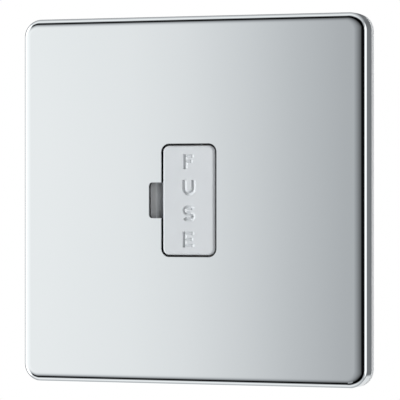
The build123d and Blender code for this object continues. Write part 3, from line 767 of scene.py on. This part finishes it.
# %% Greys along a direction
def tones(value, low, high, stops):
    """Greys along a value, from stops of (value, grey) and straight between them."""
    spread = add_node(tent_tree, "ShaderNodeMapRange")
    spread.inputs["From Min"].default_value = low
    spread.inputs["From Max"].default_value = high
    tent_tree.links.new(value, spread.inputs["Value"])
    ramp = add_node(tent_tree, "ShaderNodeValToRGB")
    elements = ramp.color_ramp.elements
    while len(elements) < len(stops):
        elements.new(0.5)
    for element, (at, grey) in zip(elements, stops):
        element.position = (at - low) / (high - low)
        element.color = (grey, grey, grey, 1)
    tent_tree.links.new(spread.outputs["Result"], ramp.inputs["Fac"])
    return ramp.outputs["Color"]


def product(first, *others):
    """All greys multiplied."""
    for other in others:
        first = maths(tent_tree, "MULTIPLY", first, other)
    return first


def lightest(first, *others):
    """The lightest of the greys."""
    for other in others:
        first = maths(tent_tree, "MAXIMUM", first, other)
    return first


# %% Directions
tent_spot = add_node(tent_tree, "ShaderNodeTexCoord")
direction = add_node(tent_tree, "ShaderNodeVectorMath", operation="NORMALIZE")
tent_tree.links.new(tent_spot.outputs["Object"], direction.inputs[0])
along = add_node(tent_tree, "ShaderNodeSeparateXYZ")
tent_tree.links.new(direction.outputs["Vector"], along.inputs["Vector"])
across = along.outputs["X"]
to_front = maths(tent_tree, "MULTIPLY", along.outputs["Y"], -1.0)
upwards = along.outputs["Z"]
off_level = maths(tent_tree, "ABSOLUTE", upwards)
over = maths(tent_tree, "DEGREES", maths(tent_tree, "ARCTAN2", off_level, to_front))
print("across runs from -1 at the left to 1, over from 0 degrees in front to 180 behind")

# %% The front: white on the left, grey on the right, black far right and over the top
sweep = tones(across, -1, -0.32, [(-1, 1.22), (-0.906, 1.18), (-0.76, 1.12), (-0.577, 1.065),
                                  (-0.514, 1.05), (-0.425, 1.01), (-0.397, 0.952), (-0.38, 0.878),
                                  (-0.361, 0.75), (-0.346, 0.63), (-0.329, 0.518)])
right_fall = tones(across, -0.3, 1, [(-0.3, 1), (0, 0.83), (0.34, 0.65), (0.67, 0.44), (0.87, 0.27),
                                     (0.93, 0.015), (1, 0.008)])
front_fall = tones(over, 0, 180, [(0, 1), (20, 0.98), (31, 0.85), (43, 0.58), (54, 0.25), (59, 0.03),
                                  (62, 0)])
on_left = tones(across, -1, 1, [(-1, 1), (-0.86, 1), (-0.74, 0)])
not_rear = tones(to_front, -1, 1, [(-1, 0), (-0.45, 0), (-0.3, 1)])
front = product(sweep, right_fall, lightest(front_fall, product(on_left, not_rear)))
print("the front:", len(tent_tree.nodes), "nodes so far")

# %% Past the black: a bright strip overhead and underneath, later on the right
STRIP_TURN = 34.0
turn = tones(across, -1, 1, [(-1, 0), (-0.43, 0), (-0.32, 0.04), (0.2, 0.15), (0.5, 0.45), (0.8, 1)])
late = maths(tent_tree, "SUBTRACT", over, product(turn, STRIP_TURN))
rise = tones(late, 0, 180, [(0, 0), (74, 0), (81, 0.35), (93, 1)])
fade_back = tones(over, 0, 180, [(0, 1.15), (96, 1.15), (115, 0.73), (141, 0.45), (160, 0.2), (172, 0)])
not_right = tones(across, -1, 1, [(0, 1), (0.8, 1), (0.95, 0)])
strip = product(rise, fade_back, not_right)
print("with the strip:", len(tent_tree.nodes), "nodes")

# %% Behind: greys and a white strip at the sides, and pale paper below
rear_sides = tones(across, -1, 1, [(-1, 1.2), (-0.97, 0.9), (-0.87, 0.15), (-0.37, 0.15), (0, 0.15),
                                   (0.31, 0.19), (0.47, 0.28), (0.56, 1.3), (0.906, 1.3), (0.97, 0.004),
                                   (1, 0.004)])
is_behind = tones(over, 0, 180, [(0, 0), (135, 0), (152, 1)])
behind = product(rear_sides, is_behind)
is_below = tones(upwards, -1, 1, [(-1, 1), (-0.03, 1), (0, 0)])
low_behind = tones(over, 0, 180, [(0, 0), (143, 0), (152, 1)])
paper_tone = tones(across, -1, 1, [(-1, 0), (-0.5, 0), (-0.44, 1.25), (-0.33, 1.25), (-0.27, 0.85),
                                   (0.2, 0.85), (0.28, 0)])
paper = product(is_below, low_behind, paper_tone)
print("with what is behind:", len(tent_tree.nodes), "nodes")

# %% In front, low down: a grey card, so that the face isn't black when it is seen from above
card_width = tones(across, -1, 1, [(-1, 0), (-0.26, 0), (-0.23, 1), (0.08, 1), (0.11, 0)])
card_tone = tones(over, 0, 180, [(0, 0), (44, 0), (54, 0.3), (62, 0.35), (66, 0)])
card = product(is_below, card_width, card_tone)
print("with the card:", len(tent_tree.nodes), "nodes")

# %% Light of the tent
TINT_FROM = 0.4
COOL_TINT = (0.978, 1, 1.036, 1)
greys = maths(tent_tree, "ADD", front, lightest(strip, behind, paper, card))
tint = add_node(tent_tree, "ShaderNodeValToRGB")
tint.color_ramp.elements[0].position = TINT_FROM
tint.color_ramp.elements[0].color = COOL_TINT
tent_tree.links.new(greys, tint.inputs["Fac"])
glow = add_node(tent_tree, "ShaderNodeEmission")
tent_tree.links.new(tint.outputs["Color"], glow.inputs["Color"])
tent_tree.links.new(greys, glow.inputs["Strength"])
tent_out = add_node(tent_tree, "ShaderNodeOutputMaterial")
tent_tree.links.new(glow.outputs["Emission"], tent_out.inputs["Surface"])
print("tent cloth:", len(tent_tree.nodes), "nodes")

# %% [markdown]
# ## Lamps
# The mouldings don't mirror the tent, so they need lamps. A soft key from the left rakes over the
# face and brings out the letters. A weak fill and a side lamp light what looks to the right, and
# a lamp behind lights the back. Suns would do the same, but their shadows would be sharper. Mirrors
# don't show the lamps.

# %% Lamps
LAMPS = {
    "key": {"azimuth": -65, "elevation": 8, "distance": 1.2, "size": 0.3, "level": 1.4},
    "fill": {"azimuth": 52, "elevation": 18, "distance": 1.5, "size": 1.0, "level": 0.36},
    "side": {"azimuth": 108, "elevation": 10, "distance": 1.4, "size": 0.8, "level": 0.5},
    "back": {"azimuth": 170, "elevation": 35, "distance": 1.4, "size": 1.0, "level": 0.7},
}


def lamp(name, azimuth, elevation, distance, size, level):
    """A soft square lamp. At level 1, a surface that faces it shows its own colour."""
    data = bpy.data.lights.new(name, "AREA")
    data.shape = "SQUARE"
    data.size = size
    data.energy = level * math.pi ** 2 * distance ** 2
    obj = bpy.data.objects.new(name, data)
    scene.collection.objects.link(obj)
    a = math.radians(azimuth)
    e = math.radians(elevation)
    towards = Vector((math.sin(a) * math.cos(e), -math.cos(a) * math.cos(e), math.sin(e)))
    obj.location = towards * distance
    obj.rotation_euler = towards.to_track_quat("Z", "Y").to_euler()
    obj.visible_glossy = False
    obj.visible_camera = False


for name, values in LAMPS.items():
    lamp(name, **values)
print("lamps:", list(LAMPS))

# %% [markdown]
# ## Floor
# The unit hangs on a wall, so the floor is some way below it. Near the unit the floor is pale paint
# that takes its shadow. A plain plane would end in a visible edge, so further out it fades to the
# white of the room.

# %% Floor
FLOOR_DROP = 0.075
FLOOR_SIZE = 12.0
bpy.ops.object.select_all(action="DESELECT")
bpy.ops.mesh.primitive_plane_add(size=FLOOR_SIZE, location=(0, 0, cad_box[0][2] - FLOOR_DROP))
floor = bpy.context.object
floor.name = "floor"
floor.visible_glossy = False
print("floor at", round(floor.location.z, 4))

# %% Paint of the floor
FLOOR_GREY = (0.9, 0.9, 0.9, 1)
FLOOR_ROUGHNESS = 0.9
FADE_FROM, FADE_TO = 0.15, 0.5
floor_paint = bpy.data.materials.new("floor_paint")
floor_paint.use_nodes = True
floor_tree = floor_paint.node_tree
paint = floor_tree.nodes["Principled BSDF"]
paint.inputs["Base Color"].default_value = FLOOR_GREY
paint.inputs["Roughness"].default_value = FLOOR_ROUGHNESS
floor_spot = add_node(floor_tree, "ShaderNodeTexCoord")
reach = add_node(floor_tree, "ShaderNodeVectorMath", operation="LENGTH")
floor_tree.links.new(floor_spot.outputs["Object"], reach.inputs[0])
fade = add_node(floor_tree, "ShaderNodeMapRange", interpolation_type="SMOOTHSTEP")
fade.inputs["From Min"].default_value = FADE_FROM
fade.inputs["From Max"].default_value = FADE_TO
floor_tree.links.new(reach.outputs["Value"], fade.inputs["Value"])
light_path = add_node(floor_tree, "ShaderNodeLightPath")
far_and_seen = maths(floor_tree, "MULTIPLY", fade.outputs["Result"], light_path.outputs["Is Camera Ray"])
room_white = add_node(floor_tree, "ShaderNodeEmission")
both = add_node(floor_tree, "ShaderNodeMixShader")
floor_tree.links.new(far_and_seen, both.inputs["Fac"])
floor_tree.links.new(paint.outputs["BSDF"], both.inputs[1])
floor_tree.links.new(room_white.outputs["Emission"], both.inputs[2])
floor_tree.links.new(both.outputs["Shader"], floor_tree.nodes["Material Output"].inputs["Surface"])
floor.data.materials.append(floor_paint)
print("floor paint:", len(floor_tree.nodes), "nodes")

# %% [markdown]
# ## Sizes
# The size of the whole part, from the box of the imported solids, is printed.

# %% Sizes, and the end
print("whole part in mm:", [round((high - low) / MM, 2) for low, high in zip(*cad_box)])
